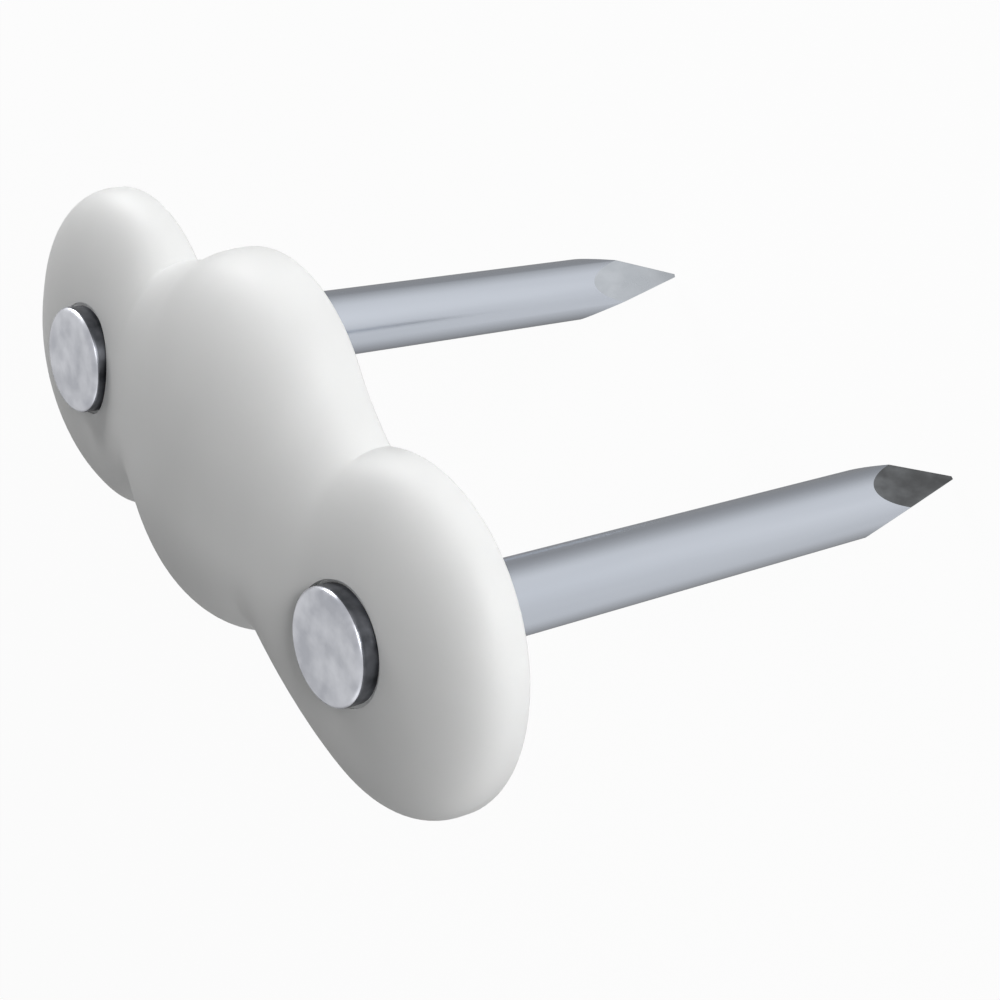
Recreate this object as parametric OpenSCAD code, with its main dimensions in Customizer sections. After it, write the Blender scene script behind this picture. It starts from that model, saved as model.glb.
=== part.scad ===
// Nail-in cable clip: a three-lobed plastic saddle, held over a cable by two nails.
// The origin is on the flat base, midway between the nails. X runs along the line of the nails,
// and Z points out of the wall, towards the nail heads.

/* [Clip body] */
// Radius of the round end lobes, seen from the front
end_r = 5.05; // [4.4:0.05:6.2]
// Height of the end lobes above the base
end_h = 2.15; // [1.8:0.05:3]
// Distance of an end lobe's centre outside its nail
lobe_out = 0.25; // [0:0.05:0.8]
// Half length of the middle lobe, along the line of the nails
mid_rx = 5.3; // [4.4:0.05:6]
// Half width of the middle lobe, across the line of the nails
mid_ry = 5.65; // [4.8:0.05:6.4]
// Height of the middle lobe above the base
mid_h = 3.3; // [2.6:0.05:4.4]
// Distance of the middle lobe's centre from the line of the nails
mid_shift = 1.3; // [0:0.05:1.6]
// Height of the upright rim below the dome
rim_h = 0.3; // [0.2:0.05:0.6]
// Fullness of the dome: 2 is an ellipse, and more is flatter on top
fullness = 2.35; // [2:0.05:3]
// Softness of the notches in the edge on the side that the middle lobe is shifted to
near_blend = 3; // [0.4:0.1:3]
// Softness of the notches in the edge on the other side
far_blend = 1; // [0.4:0.1:3]

/* [Nails] */
// Distance between the axes of the nails
nail_spacing = 15; // [13.5:0.1:17]
// Length of a nail from the underside of its head to its tip
nail_len = 25.4; // [18:0.2:40]
// Diameter of a nail's shank
shank_d = 2.3; // [1.8:0.05:2.7]
// Diameter of a nail's head
head_d = 3.3; // [3:0.05:4.2]
// Thickness of a nail's head
head_h = 0.6; // [0.5:0.05:0.9]
// Rounding of the head's upper edge
head_round = 0.2; // [0.05:0.05:0.4]
// Height of the head's face above the crown of its lobe
head_proud = 0.5; // [0.1:0.05:0.55]
// Swelling of the shank's radius just under the head, left by the gripping dies
neck_swell = 0.12; // [0.05:0.01:0.2]
// Length of the ground four-sided point
point_len = 5.2; // [2.5:0.1:7]
// Width across the blunt end of the point
tip_w = 0.12; // [0.06:0.02:0.3]
// Turn of the left nail's point about its own axis, in degrees
left_turn = 40; // [0:5:90]
// Turn of the right nail's point about its own axis, in degrees
right_turn = 60; // [0:5:90]

/* [Fits] */
// Gap between a nail's neck and its hole in the body
hole_gap = 0.02; // [0.01:0.01:0.05]
// Gap round a nail's head in its spot face
spot_gap = 0.1; // [0.05:0.05:0.3]

/* [Hidden] */
$fn = 64;

// Places that follow from the sizes above
nail_x = nail_spacing / 2;
lobe_x = nail_x + lobe_out;
shank_r = shank_d / 2;
head_r = head_d / 2;
head_seat = end_h + head_proud - head_h;
tip_z = head_seat - nail_len;
top_z = max(mid_h, head_seat + head_h);

// Overrun of the cutting shapes, past the faces that they cut
over = 1;

// Steps of the dome's mesh: round each end, between the end lobes' centres, and over an arch
end_steps = 18;
span_steps = 44;
arch_steps = 26;
// The last section at each end stands just short of the tip, where its width would be nothing
end_angle = 89;

// Share of a lobe's half width that is left at a distance x from its centre, and -1 outside it
function width_left(x, r) = abs(x) < r ? sqrt(1 - pow(x / r, 2)) : -1;

// Share of the dome's height that is left at a distance x from where it starts to fall
function height_left(x, r) = pow(1 - pow(x / r, fullness), 1 / fullness);

// The larger of two values, run smoothly into each other where they are less than k apart
function soft_max(a, b, k) = max(a, b) + pow(max(k - abs(a - b), 0), 2) / (4 * k);

// The body's edge at x on one side of the nail line: y = side * rim_edge(x, side)
function rim_edge(x, side) = soft_max(
    end_r * width_left(abs(x) - lobe_x, end_r),
    side * mid_shift + mid_ry * width_left(x, mid_rx),
    side > 0 ? near_blend : far_blend);

// Height of the dome above the rim along its crest, which swells from the end lobes to the middle one
function crest(x) =
    (end_h - rim_h) * height_left(max(abs(x) - lobe_x, 0), end_r)
    + (mid_h - end_h) * (1 + cos(180 * min(abs(x) / lobe_x, 1))) / 2;

// A circle's sine or cosine, squared off by the fullness of the dome
function squared(v) = sign(v) * pow(abs(v), 2 / fullness);

// One section across the body at x: up the far wall, over the arch and down the near wall. The arch is
// two quarters that meet in the crest, over the line of the nails.
function section(x) =
    let (
        near = rim_edge(x, 1),
        far = rim_edge(x, -1),
        rise = crest(x)
    )
    concat(
        [[x, -far, -over]],
        [for (i = [0 : arch_steps])
            let (a = 180 - 180 * i / arch_steps)
            [x, (cos(a) > 0 ? near : far) * squared(cos(a)), rim_h + rise * squared(sin(a))]],
        [[x, near, -over]]);

// Where the sections stand along X, from one end of the body to the other
end_xs = [for (i = [0 : end_steps - 1]) lobe_x + end_r * sin(end_angle * (1 - i / end_steps))];
section_xs = concat(
    [for (x = end_xs) -x],
    [for (i = [0 : span_steps]) lobe_x * (2 * i / span_steps - 1)],
    [for (i = [1 : end_steps]) end_xs[end_steps - i]]);

// Solid that joins up a row of closed sections with equally many points
module loft(sections) {
    rows = len(sections);
    cols = len(sections[0]);
    sides = [for (r = [0 : rows - 2], c = [0 : cols - 1])
        let (a = r * cols + c, b = r * cols + (c + 1) % cols)
        each [[a, a + cols, b], [b, a + cols, b + cols]]];
    first_cap = [for (c = [0 : cols - 1]) c];
    last_cap = [for (c = [cols - 1 : -1 : 0]) (rows - 1) * cols + c];
    polyhedron([for (s = sections) each s], concat(sides, [first_cap, last_cap]), convexity = 6);
}

// Radius of a nail's neck at a height z above the base
function neck_r(z) = shank_r + neck_swell * z / head_seat;

// What a nail's neck and head take out of an end lobe
module nail_seat() {
    translate([0, 0, -over])
        cylinder(
            h = head_seat + 2 * over,
            r1 = neck_r(-over) + hole_gap,
            r2 = neck_r(head_seat + over) + hole_gap);
    translate([0, 0, head_seat])
        cylinder(h = top_z - head_seat + over, r = head_r + spot_gap);
}

module clip_body() {
    length = 2 * (lobe_x + end_r + over);
    width = 2 * (max(end_r, mid_ry + mid_shift) + over);
    color("whitesmoke")
        difference() {
            loft([for (x = section_xs) section(x)]);
            // Flat base
            translate([-length / 2, -width / 2, -2 * over])
                cube([length, width, 2 * over]);
            for (x = [-nail_x, nail_x])
                translate([x, 0, 0])
                    nail_seat();
        }
}

// Half outline of a nail's head, with its upper edge rounded
module head_outline() {
    square([head_r - head_round, head_h]);
    square([head_r, head_h - head_round]);
    translate([head_r - head_round, head_h - head_round])
        intersection() {
            circle(r = head_round);
            square(head_round);
        }
}

// What one pass of the grinder takes off a shank, to leave one side of its point
module point_cut() {
    slope = (shank_r - tip_w / 2) / point_len;
    rotate([90, 0, 0])
        linear_extrude(height = 4 * shank_r, center = true)
            polygon([
                [tip_w / 2 - slope * over, -over],
                [shank_r + slope * over, point_len + over],
                [2 * shank_r + slope * over, point_len + over],
                [2 * shank_r + slope * over, -over]]);
}

module nail(turn) {
    color("silver") {
        translate([0, 0, head_seat])
            rotate_extrude()
                head_outline();
        cylinder(h = head_seat, r1 = neck_r(0), r2 = neck_r(head_seat));
        translate([0, 0, tip_z])
            difference() {
                cylinder(h = -tip_z, r = shank_r);
                for (a = [0 : 90 : 270])
                    rotate([0, 0, turn + a])
                        point_cut();
            }
    }
}

module left_nail() {
    translate([-nail_x, 0, 0])
        nail(left_turn);
}

module right_nail() {
    translate([nail_x, 0, 0])
        nail(right_turn);
}

clip_body();
left_nail();
right_nail();
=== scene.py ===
import math

import bmesh
import bpy
from mathutils import Matrix, Quaternion, Vector, noise


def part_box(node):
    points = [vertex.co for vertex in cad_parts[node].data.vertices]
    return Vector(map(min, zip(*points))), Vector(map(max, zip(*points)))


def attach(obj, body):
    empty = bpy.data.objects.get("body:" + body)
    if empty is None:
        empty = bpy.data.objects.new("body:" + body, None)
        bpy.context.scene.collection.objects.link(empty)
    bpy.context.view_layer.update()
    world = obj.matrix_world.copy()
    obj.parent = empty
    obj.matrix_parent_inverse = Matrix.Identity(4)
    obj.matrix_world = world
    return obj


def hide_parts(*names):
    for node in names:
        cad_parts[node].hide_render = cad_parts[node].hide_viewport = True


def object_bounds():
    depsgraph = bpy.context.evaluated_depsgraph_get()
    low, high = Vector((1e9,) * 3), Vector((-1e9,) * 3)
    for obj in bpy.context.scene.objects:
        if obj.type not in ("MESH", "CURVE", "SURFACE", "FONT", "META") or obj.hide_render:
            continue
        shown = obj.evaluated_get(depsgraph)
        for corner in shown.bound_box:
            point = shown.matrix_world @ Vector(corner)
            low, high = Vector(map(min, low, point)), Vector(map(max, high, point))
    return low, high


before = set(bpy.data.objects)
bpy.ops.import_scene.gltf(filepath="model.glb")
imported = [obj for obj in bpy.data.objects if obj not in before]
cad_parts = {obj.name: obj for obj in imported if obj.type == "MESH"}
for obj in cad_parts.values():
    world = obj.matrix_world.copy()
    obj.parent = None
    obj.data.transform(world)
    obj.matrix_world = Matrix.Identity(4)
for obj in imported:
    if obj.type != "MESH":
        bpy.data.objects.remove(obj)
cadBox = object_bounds()
mm = 0.001
quarterTurn = math.pi / 2
print("frame loaded:", sorted(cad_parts))


# Mesh helpers shared by the pieces

meshLimits = {
    "merge": 0.0001 * mm,       # points this close become one
    "sliver": 0.0002 * mm,      # edges this short go, with the faces that they leave no width
    "level": 0.001 * mm,        # points this close in height lie on one level
}


def addObject(name, data):
    thing = bpy.data.objects.new(name, data)
    bpy.context.scene.collection.objects.link(thing)
    return thing


def finishPiece(bm, name, sharpDegrees=30):
    # smooth faces that point outwards, with a crisp line where two meet more sharply than the limit
    bmesh.ops.dissolve_degenerate(bm, dist=meshLimits["sliver"], edges=bm.edges[:])
    bmesh.ops.recalc_face_normals(bm, faces=bm.faces[:])
    if bm.calc_volume(signed=True) < 0:
        bmesh.ops.reverse_faces(bm, faces=bm.faces[:])
    for face in bm.faces:
        face.smooth = True
    for edge in bm.edges:
        edge.smooth = edge.calc_face_angle(0) < math.radians(sharpDegrees)
    mesh = bpy.data.meshes.new(name)
    bm.to_mesh(mesh)
    bm.free()
    return addObject(name, mesh)


def spinOutline(bm, outline, steps):
    # turns a row of (radius, height) points about the Z axis
    verts = [bm.verts.new((radius, 0, height)) for radius, height in outline]
    edges = [bm.edges.new(pair) for pair in zip(verts, verts[1:])]
    bmesh.ops.spin(
        bm, geom=verts + edges, cent=(0, 0, 0), axis=(0, 0, 1), dvec=(0, 0, 0),
        angle=2 * math.pi, steps=steps, use_merge=True)
    bmesh.ops.remove_doubles(bm, verts=bm.verts[:], dist=meshLimits["merge"])


def roundEdges(bm, edges, width, steps, clamp=False):
    bmesh.ops.bevel(
        bm, geom=edges, offset=width, offset_type="OFFSET", affect="EDGES",
        segments=steps, profile=0.5, material=-1, clamp_overlap=clamp)


def onlyKind(parts, kind):
    # the points or the edges among what an operator gives back
    return [part for part in parts if isinstance(part, kind)]


# Nails: a flat head with a rounded edge, a plain wire shank and a ground four-sided point

nailShape = {
    "shankRadius": 1.15 * mm,
    "headThickness": 0.6 * mm,
    "headRound": 0.2 * mm,      # rounding of the head's upper edge
    "neckSwell": 0.12 * mm,     # swelling just under the head, inside the plastic
    "pointLength": 5.2 * mm,
    "tipWidth": 0.12 * mm,
    "turns": {"left_nail": 40, "right_nail": 60},   # of the point about its axis, in degrees
    "steps": 96,                # round the nail
    "faceRings": 12,            # on the head's face, for its dents
    "roundSteps": 8,            # over the head's rounded edge
    "dentDepth": 0.012 * mm,    # unevenness that the heading die leaves on the face
    "dentSize": 0.7 * mm,
    "wear": 0.03 * mm,          # on the edges of the point
    "wearSteps": 2,
    "sideTilt": 0.3,            # upward share of the normal, below which the head counts as side
    "sharpDegrees": 28,
}
nailFaces = ("shank", "point", "head", "side")      # in the order of a nail's finishes


def markFace(face, kind):
    face.material_index = nailFaces.index(kind)


def headOutline(radius, top):
    # from the middle of the face over the rounded edge to the underside
    shape = nailShape
    flat = radius - shape["headRound"]
    outline = [(flat * ring / shape["faceRings"], top) for ring in range(shape["faceRings"])]
    for step in range(shape["roundSteps"] + 1):
        angle = quarterTurn * step / shape["roundSteps"]
        outline.append((
            flat + shape["headRound"] * math.sin(angle),
            top - shape["headRound"] * (1 - math.cos(angle))))
    outline.append((radius, top - shape["headThickness"]))
    return outline


def shankOutline(seat, tip):
    # from under the head down the neck and the wire to the middle of its end
    radius = nailShape["shankRadius"]
    return [(radius + nailShape["neckSwell"], seat), (radius, 0), (radius, tip), (0, tip)]


def grindPoint(bm, tip, turn):
    # four flat cuts that meet at the tip
    shape = nailShape
    halfTip = shape["tipWidth"] / 2
    slope = math.atan2(shape["shankRadius"] - halfTip, shape["pointLength"])
    for quarter in range(4):
        side = Matrix.Rotation(turn + quarter * quarterTurn, 3, "Z")
        cut = bmesh.ops.bisect_plane(
            bm, geom=bm.verts[:] + bm.edges[:] + bm.faces[:], dist=meshLimits["merge"],
            plane_co=side @ Vector((halfTip, 0, tip)),
            plane_no=side @ Vector((math.cos(slope), 0, -math.sin(slope))),
            clear_outer=True)
        rim = onlyKind(cut["geom_cut"], bmesh.types.BMEdge)
        for face in bmesh.ops.edgeloop_fill(bm, edges=rim)["faces"]:
            markFace(face, "point")


def wearPoint(bm):
    # takes the keenness off the edges that the cuts left
    ground = nailFaces.index("point")
    edges = [
        edge for edge in bm.edges
        if any(face.material_index == ground for face in edge.link_faces)]
    roundEdges(bm, edges, nailShape["wear"], nailShape["wearSteps"], clamp=True)


def markHead(bm, seat):
    for face in bm.faces:
        if face.calc_center_median().z > seat:
            markFace(face, "side" if face.normal.z < nailShape["sideTilt"] else "head")


def dentFace(bm, top, axis):
    # the dents follow the nail's place, so no two heads are alike
    for vert in bm.verts:
        if abs(vert.co.z - top) < meshLimits["level"]:
            spot = (vert.co + axis) / nailShape["dentSize"]
            vert.co.z -= nailShape["dentDepth"] * abs(noise.noise(spot))


def makeNail(nodeName, pieceName):
    low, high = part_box(nodeName)
    axis = Vector(((low.x + high.x) / 2, (low.y + high.y) / 2, 0))
    seat = high.z - nailShape["headThickness"]
    bm = bmesh.new()
    outline = headOutline((high.x - low.x) / 2, high.z) + shankOutline(seat, low.z)
    spinOutline(bm, outline, nailShape["steps"])
    grindPoint(bm, low.z, math.radians(nailShape["turns"][nodeName]))
    bmesh.ops.recalc_face_normals(bm, faces=bm.faces[:])
    wearPoint(bm)
    markHead(bm, seat)
    dentFace(bm, high.z, axis)
    bmesh.ops.translate(bm, verts=bm.verts[:], vec=axis)
    piece = finishPiece(bm, pieceName, nailShape["sharpDegrees"])
    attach(piece, "root")
    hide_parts(nodeName)
    print("nail made:", pieceName, len(piece.data.polygons), "faces")
    return piece


leftNail = makeNail("left_nail", "leftNail")
rightNail = makeNail("right_nail", "rightNail")


# Clip body: three round lobes under one soft dome, above an upright rim

clipShape = {
    "endRadius": 5.05 * mm,
    "endHeight": 2.15 * mm,
    "lobeOut": 0.25 * mm,       # an end lobe's centre, outside its nail
    "midHalfLength": 5.3 * mm,
    "midShift": 1.3 * mm,       # the middle lobe's centre, off the line of the nails
    "rimHeight": 0.3 * mm,
    "fullness": 2.35,           # of the dome: 2 is an ellipse, and more is flatter on top
    "nearBlend": 3.0 * mm,      # softness of the notches on the side that the middle is shifted to
    "farBlend": 1.0 * mm,       # and on the other side
    "baseRound": 0.1 * mm,      # moulded edge round the base
    "baseSteps": 3,
    "holeGap": 0.02 * mm,       # round a nail's neck
    "spotGap": 0.1 * mm,        # round a nail's head in its spot face
    "overrun": 1 * mm,          # of the seats' cutters, past the faces that they cut
    "stations": 168,            # along the body
    "endShare": 0.3,            # of the stations that go round each end
    "tipStart": 0.99999,        # share of the half length where the body has closed to its tip
    "archSteps": 56,            # over the body
    "sharpDegrees": 35,
}


def softMax(a, b, blend):
    # the larger of two values, run smoothly into each other where they are close
    return max(a, b) + max(blend - abs(a - b), 0) ** 2 / (4 * blend)


def shareLeft(distance, radius, power=2):
    # of a lobe's width or height, at a distance from its centre: a power of 2 is an ellipse
    if abs(distance) >= radius:
        return -1
    return (1 - (abs(distance) / radius) ** power) ** (1 / power)


def squared(value):
    # a circle's sine or cosine, squared off by the fullness of the dome
    return math.copysign(abs(value) ** (2 / clipShape["fullness"]), value)


def stationAt(along, lobeX):
    # evenly spread between the end lobes' centres, and by angle round the ends
    straight = 1 - clipShape["endShare"]
    if abs(along) <= straight:
        return lobeX * along / straight
    turn = (abs(along) - straight) / clipShape["endShare"] * quarterTurn
    return math.copysign(lobeX + clipShape["endRadius"] * math.sin(turn), along)


def sectionAt(x, lobeX, midHalfWidth, midHeight):
    # how far the body reaches to either side of the nail line, and how high its crest is above the rim
    shape = clipShape
    endX = abs(x) - lobeX
    endHalf = shape["endRadius"] * shareLeft(endX, shape["endRadius"])
    midHalf = midHalfWidth * shareLeft(x, shape["midHalfLength"])
    near = softMax(endHalf, midHalf + shape["midShift"], shape["nearBlend"])
    far = softMax(endHalf, midHalf - shape["midShift"], shape["farBlend"])
    endFall = shareLeft(max(endX, 0), shape["endRadius"], shape["fullness"])
    midSwell = (1 + math.cos(math.pi * min(abs(x) / lobeX, 1))) / 2
    rise = (shape["endHeight"] - shape["rimHeight"]) * endFall
    rise += (midHeight - shape["endHeight"]) * midSwell
    return near, far, rise


def layOverLobes(vert, lobeX, midHalfWidth, midHeight):
    # takes a point of the flat grid to its place on the dome
    along, across = vert.co.x, vert.co.y
    x = stationAt(along, lobeX)
    near, far, rise = sectionAt(x, lobeX, midHalfWidth, midHeight)
    if abs(along) > clipShape["tipStart"]:
        near = far = rise = 0
    # two quarter arches that meet in the crest, over the line of the nails
    angle = quarterTurn * (1 - across)
    vert.co = (
        x,
        (near if across > 0 else far) * squared(math.cos(angle)),
        clipShape["rimHeight"] + rise * squared(math.sin(angle)))


def closeBase(bm):
    # rim down to the base, then the base itself with its edge rounded
    rim = [edge for edge in bm.edges if edge.is_boundary]
    grown = bmesh.ops.extrude_edge_only(bm, edges=rim)["geom"]
    lower = onlyKind(grown, bmesh.types.BMVert)
    bmesh.ops.translate(bm, verts=lower, vec=(0, 0, -clipShape["rimHeight"]))
    baseEdges = [edge for edge in bm.edges if edge.is_boundary]
    bmesh.ops.edgeloop_fill(bm, edges=baseEdges)
    bmesh.ops.recalc_face_normals(bm, faces=bm.faces[:])
    roundEdges(bm, baseEdges, clipShape["baseRound"], clipShape["baseSteps"])


def nailSeat(nodeName):
    # what a nail's neck and head take out of an end lobe
    low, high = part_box(nodeName)
    seat = high.z - nailShape["headThickness"]
    swell = nailShape["neckSwell"] / seat
    over = clipShape["overrun"]
    holeRadius = nailShape["shankRadius"] + clipShape["holeGap"]
    spotRadius = (high.x - low.x) / 2 + clipShape["spotGap"]
    bm = bmesh.new()
    spinOutline(bm, [
        (0, -over), (holeRadius - swell * over, -over), (holeRadius + swell * seat, seat),
        (spotRadius, seat), (spotRadius, high.z + over), (0, high.z + over)], nailShape["steps"])
    bmesh.ops.translate(bm, verts=bm.verts[:], vec=((low.x + high.x) / 2, 0, 0))
    return finishPiece(bm, nodeName + "_seat")


def cutAway(bm, cutter):
    # takes the cutter out of the body, and removes the cutter
    mesh = bpy.data.meshes.new("uncut")
    bm.to_mesh(mesh)
    body = addObject("uncut", mesh)
    cut = body.modifiers.new("cut", "BOOLEAN")
    cut.operation = "DIFFERENCE"
    cut.solver = "EXACT"
    cut.object = cutter
    result = body.evaluated_get(bpy.context.evaluated_depsgraph_get()).to_mesh()
    bm.clear()
    bm.from_mesh(result)
    for spent in (body, cutter):
        bpy.data.objects.remove(spent)


def makeClipBody():
    shape = clipShape
    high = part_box("clip_body")[1]
    nailX = sum(corner.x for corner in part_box("right_nail")) / 2
    bm = bmesh.new()
    bmesh.ops.create_grid(bm, x_segments=shape["stations"], y_segments=shape["archSteps"], size=1)
    for vert in bm.verts:
        layOverLobes(vert, nailX + shape["lobeOut"], high.y - shape["midShift"], high.z)
    bmesh.ops.remove_doubles(bm, verts=bm.verts[:], dist=meshLimits["merge"])
    closeBase(bm)
    for nodeName in ("left_nail", "right_nail"):
        cutAway(bm, nailSeat(nodeName))
    piece = finishPiece(bm, "clipBody", shape["sharpDegrees"])
    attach(piece, "root")
    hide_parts("clip_body")
    print("clip body made:", len(piece.data.polygons), "faces")
    return piece


clipBody = makeClipBody()


# Materials: moulded plastic, and steel in the finishes that drawing, heading and grinding leave, with
# painted shade on the heads' sides and on the right nail's point

noiseRange = {
    "tint": (0.35, 0.65),       # noise that takes the darkest and the palest colour
    "roughness": (0.3, 0.7),    # noise that takes the smoothest and the roughest finish
}


def newMaterial(name):
    material = bpy.data.materials.new(name)
    material.use_nodes = True
    nodes, links = material.node_tree.nodes, material.node_tree.links
    return material, nodes, links, nodes["Principled BSDF"]


def setInputs(node, values):
    for socket, value in values.items():
        node.inputs[socket].default_value = value


def noiseOn(nodes, links, scale, detail, stretch=(1, 1, 1)):
    # noise on the piece's own coordinates, drawn out along an axis where the finish is
    place = nodes.new("ShaderNodeTexCoord")
    mapping = nodes.new("ShaderNodeMapping")
    pattern = nodes.new("ShaderNodeTexNoise")
    setInputs(mapping, {"Scale": stretch})
    setInputs(pattern, {"Scale": scale, "Detail": detail})
    links.new(place.outputs["Object"], mapping.inputs["Vector"])
    links.new(mapping.outputs["Vector"], pattern.inputs["Vector"])
    return pattern.outputs["Fac"]


def rampOf(nodes, links, value, stops):
    ramp = nodes.new("ShaderNodeValToRGB")
    elements = ramp.color_ramp.elements
    while len(elements) < len(stops):
        elements.new(1)
    for element, (position, colour) in zip(elements, stops):
        element.position = position
        element.color = (*colour, 1)
    links.new(value, ramp.inputs["Fac"])
    return ramp.outputs["Color"]


def rangeOf(nodes, links, value, start, end):
    # spreads one range of values over another
    spread = nodes.new("ShaderNodeMapRange")
    setInputs(spread, {
        "From Min": start[0], "From Max": start[1], "To Min": end[0], "To Max": end[1]})
    links.new(value, spread.inputs["Value"])
    return spread.outputs["Result"]


def tintFrom(nodes, links, pattern, dark, light, shader):
    stops = list(zip(noiseRange["tint"], (dark, light)))
    links.new(rampOf(nodes, links, pattern, stops), shader.inputs["Base Color"])


def roughnessFrom(nodes, links, pattern, limits, shader):
    roughness = rangeOf(nodes, links, pattern, noiseRange["roughness"], limits)
    links.new(roughness, shader.inputs["Roughness"])


def bumpFrom(nodes, links, pattern, strength, depth, shader):
    bump = nodes.new("ShaderNodeBump")
    setInputs(bump, {"Strength": strength, "Distance": depth})
    links.new(pattern, bump.inputs["Height"])
    links.new(bump.outputs["Normal"], shader.inputs["Normal"])


plasticFinish = {
    "pale": (0.87, 0.875, 0.87),
    "shade": (0.83, 0.836, 0.832),
    "roughness": (0.46, 0.56),
    "gloss": 0.3,
    "cloudScale": 220,          # slow drift of colour from the moulding
    "cloudDetail": 2,
    "skinScale": 5200,          # fine moulded skin
    "skinDetail": 3,
    "skinDepth": 0.004 * mm,
    "skinStrength": 0.25,
    "soak": 0.12,               # share of the light that sinks into the plastic
    "soakDepth": 0.6 * mm,
    "soakTint": (1, 0.95, 0.9),     # of that depth, for red, green and blue
}


def moulded():
    finish = plasticFinish
    material, nodes, links, shader = newMaterial("mouldedPlastic")
    cloud = noiseOn(nodes, links, finish["cloudScale"], finish["cloudDetail"])
    skin = noiseOn(nodes, links, finish["skinScale"], finish["skinDetail"])
    tintFrom(nodes, links, cloud, finish["shade"], finish["pale"], shader)
    roughnessFrom(nodes, links, skin, finish["roughness"], shader)
    bumpFrom(nodes, links, skin, finish["skinStrength"], finish["skinDepth"], shader)
    setInputs(shader, {
        "Subsurface Weight": finish["soak"],
        "Subsurface Radius": finish["soakTint"],
        "Subsurface Scale": finish["soakDepth"],
        "Specular IOR Level": finish["gloss"]})
    return material


steelMottle = {"detail": 3, "strength": 0.3}        # the same in all the finishes
steelFinishes = {
    # tints and roughness, then the mottle: its scale, how it is drawn out, and the depth of its marks
    "wire": {
        "light": (0.82, 0.87, 0.96), "dark": (0.76, 0.81, 0.9), "roughness": (0.18, 0.26),
        "scale": 900, "stretch": (1, 1, 0.05), "depth": 0.002 * mm},
    "stampedHead": {
        "light": (0.54, 0.55, 0.585), "dark": (0.36, 0.37, 0.405), "roughness": (0.28, 0.45),
        "scale": 1100, "stretch": (1, 1, 1), "depth": 0.012 * mm},
    # the head's side: near-black steel, a painted shade standing in for the shadowed gap round the
    # head
    "headSidePaintedShade": {
        "light": (0.14, 0.145, 0.16), "dark": (0.06, 0.063, 0.07), "roughness": (0.3, 0.45),
        "scale": 1500, "stretch": (1, 1, 1), "depth": 0.006 * mm},
    "leftPoint": {
        "light": (0.77, 0.81, 0.86), "dark": (0.67, 0.71, 0.76), "roughness": (0.25, 0.4),
        "scale": 1600, "stretch": (1, 1, 0.4), "depth": 0.003 * mm},
    # the right nail's point: a darkened copy of the left point's steel, painted shade and dark
    # reflection on its ground facets
    "rightPointPaintedShade": {
        "light": (0.24, 0.25, 0.26), "dark": (0.13, 0.135, 0.14), "roughness": (0.35, 0.5),
        "scale": 1600, "stretch": (1, 1, 0.4), "depth": 0.008 * mm},
}


def steel(name):
    finish = steelFinishes[name]
    material, nodes, links, shader = newMaterial(name)
    mottle = noiseOn(nodes, links, finish["scale"], steelMottle["detail"], finish["stretch"])
    tintFrom(nodes, links, mottle, finish["dark"], finish["light"], shader)
    roughnessFrom(nodes, links, mottle, finish["roughness"], shader)
    bumpFrom(nodes, links, mottle, steelMottle["strength"], finish["depth"], shader)
    setInputs(shader, {"Metallic": 1})
    return material


clipBody.data.materials.append(moulded())
# the heads' side faces take the near-black steel, a painted shade for the gap round each head
sharedSteel = {"shank": steel("wire"), "head": steel("stampedHead"), "side": steel("headSidePaintedShade")}
# the left point keeps plain ground steel, and the right point carries painted shade
for nail, pointFinish in ((leftNail, "leftPoint"), (rightNail, "rightPointPaintedShade")):
    finishes = {**sharedSteel, "point": steel(pointFinish)}
    for kind in nailFaces:
        nail.data.materials.append(finishes[kind])
print("materials made:", len(bpy.data.materials))


# Stage: a white floor under the nail points, three soft lamps, and a surround that the nails mirror

stageLook = {
    "floorSize": 4.0,
    "floorColour": (0.93, 0.93, 0.93),
    "floorRoughness": 0.9,
    "glow": 0.95,               # share of the floor that shows plain white to the camera
    "ambient": 0.15,            # light from all round
    "horizonBlur": 0.1,         # height of a direction at which the surround is white
    "mirrored": [
        # what the nails show of the surround below them: turn about the Z axis from 0 to 1, and level
        (0, 0.28), (0.17, 0.24), (0.26, 0.38), (0.35, 0.58), (0.5, 0.6), (0.61, 0.68), (0.75, 0.65),
        (0.81, 0.5), (0.86, 0.36), (0.92, 0.28), (1, 0.28)],
    "lamps": {
        # place and width in metres, and watts
        "keyLamp": ((0.132, 0.132, 0.033), 0.08, 0.24),
        "sideLamp": ((-0.162, 0.094, 0.033), 0.08, 0.19),
        "backLamp": ((0.11, -0.15, 0.03), 0.12, 0.045),
    },
}


def rayLevel(nodes, links, start, shares):
    # a start value, with a share added for each kind of ray that is named
    path = nodes.new("ShaderNodeLightPath")
    total = None
    for output, share in shares.items():
        part = nodes.new("ShaderNodeMath")
        part.operation = "MULTIPLY_ADD"
        ray, factor, base = part.inputs[:3]
        factor.default_value = share
        base.default_value = start
        links.new(path.outputs[output], ray)
        if total:
            links.new(total, base)
        total = part.outputs["Value"]
    return total


def mixShaders(nodes, links, share, first, second):
    mix = nodes.new("ShaderNodeMixShader")
    for source, socket in zip((share, first.outputs[0], second.outputs[0]), mix.inputs):
        links.new(source, socket)
    return mix


def whiteFloor():
    # white to the camera, with a trace of the object's shadow, and clear to what the nails mirror
    look = stageLook
    material, nodes, links, shader = newMaterial("paleFloor")
    setInputs(shader, {
        "Base Color": (*look["floorColour"], 1),
        "Roughness": look["floorRoughness"],
        "Specular IOR Level": 0})
    white = nodes.new("ShaderNodeEmission")
    clear = nodes.new("ShaderNodeBsdfTransparent")
    toCamera = rayLevel(nodes, links, 0, {"Is Camera Ray": look["glow"]})
    toMirror = rayLevel(nodes, links, 0, {"Is Glossy Ray": 1})
    seen = mixShaders(nodes, links, toCamera, shader, white)
    surface = mixShaders(nodes, links, toMirror, seen, clear)
    links.new(surface.outputs["Shader"], nodes["Material Output"].inputs["Surface"])
    return material


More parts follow.
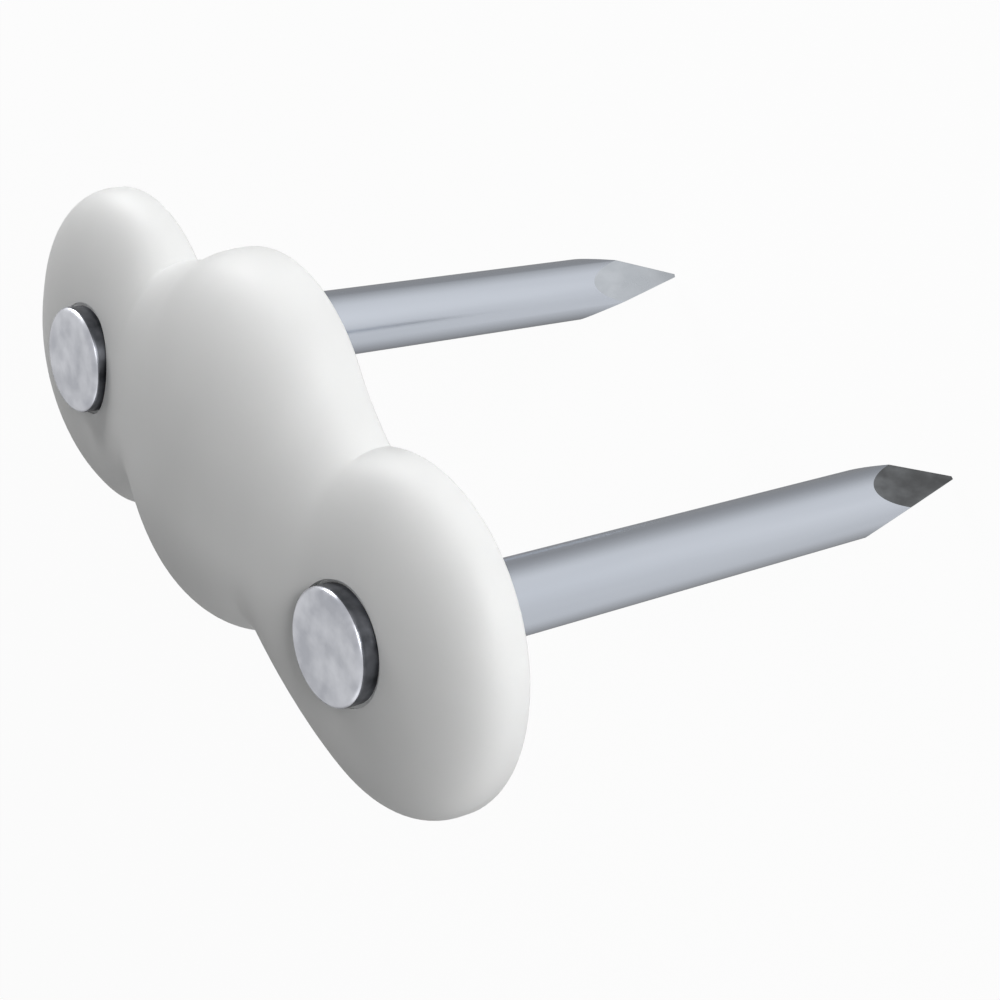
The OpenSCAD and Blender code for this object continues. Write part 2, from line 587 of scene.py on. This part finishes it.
def makeFloor():
    lowest = cadBox[0][2]
    bm = bmesh.new()
    bmesh.ops.create_grid(bm, x_segments=1, y_segments=1, size=stageLook["floorSize"] / 2)
    bmesh.ops.translate(bm, verts=bm.verts[:], vec=(0, 0, lowest))
    floor = finishPiece(bm, "floor")
    floor.data.materials.append(whiteFloor())


def mirroredSurround(nodes, links):
    # white above the horizon, and below it light on the side of the lamps and darker behind
    place = nodes.new("ShaderNodeTexCoord")
    turn = nodes.new("ShaderNodeTexGradient")
    turn.gradient_type = "RADIAL"
    links.new(place.outputs["Generated"], turn.inputs["Vector"])
    greys = [(spot, (level, level, level)) for spot, level in stageLook["mirrored"]]
    below = rampOf(nodes, links, turn.outputs["Fac"], greys)
    direction = nodes.new("ShaderNodeSeparateXYZ")
    links.new(place.outputs["Generated"], direction.inputs["Vector"])
    blur = stageLook["horizonBlur"]
    above = rangeOf(nodes, links, direction.outputs["Z"], (-blur, blur), (0, 1))
    level = nodes.new("ShaderNodeMix")
    setInputs(level, {"B": 1})
    links.new(above, level.inputs["Factor"])
    links.new(below, level.inputs["A"])
    return level.outputs["Result"]


def makeSurround():
    # white to the camera, faint as a light, and graded in what the nails mirror
    ambient = stageLook["ambient"]
    world = bpy.data.worlds.new("surround")
    world.use_nodes = True
    nodes, links = world.node_tree.nodes, world.node_tree.links
    toWhite = {output: 1 - ambient for output in ("Is Camera Ray", "Is Transmission Ray")}
    strength = nodes.new("ShaderNodeMix")
    links.new(rayLevel(nodes, links, 0, {"Is Glossy Ray": 1}), strength.inputs["Factor"])
    links.new(rayLevel(nodes, links, ambient, toWhite), strength.inputs["A"])
    links.new(mirroredSurround(nodes, links), strength.inputs["B"])
    setInputs(nodes["Background"], {"Color": (1, 1, 1, 1)})
    links.new(strength.outputs["Result"], nodes["Background"].inputs["Strength"])
    bpy.context.scene.world = world


def hangLamps():
    # each faces the origin, in the middle of the clip's base
    for name, (place, width, watts) in stageLook["lamps"].items():
        data = bpy.data.lights.new(name, "AREA")
        data.shape = "SQUARE"
        data.size = width
        data.energy = watts
        lamp = addObject(name, data)
        lamp.location = place
        lamp.rotation_euler = (-Vector(place)).to_track_quat("-Z", "Y").to_euler()


makeFloor()
makeSurround()
hangLamps()
print("stage made")


# Camera: where the photo was taken from

cameraView = {
    "place": Vector((35.51, 28.44, 25.82)) * mm,
    "aim": Vector((3.35, 0, -6.33)) * mm,
    "roll": math.radians(-102.81),
    "lens": 63.42,
    "sensor": 36,
    "nearest": 1 * mm,          # anything closer isn't drawn
}


def makeCamera():
    view = cameraView
    data = bpy.data.cameras.new("camera")
    data.lens = view["lens"]
    data.sensor_width = view["sensor"]
    data.clip_start = view["nearest"]
    camera = addObject("camera", data)
    camera.location = view["place"]
    facing = (view["aim"] - view["place"]).to_track_quat("-Z", "Y")
    camera.rotation_euler = (facing @ Quaternion((0, 0, 1), view["roll"])).to_euler()
    bpy.context.scene.camera = camera
    print("camera set")


makeCamera()
bpy.context.scene.view_settings.view_transform = "Standard"
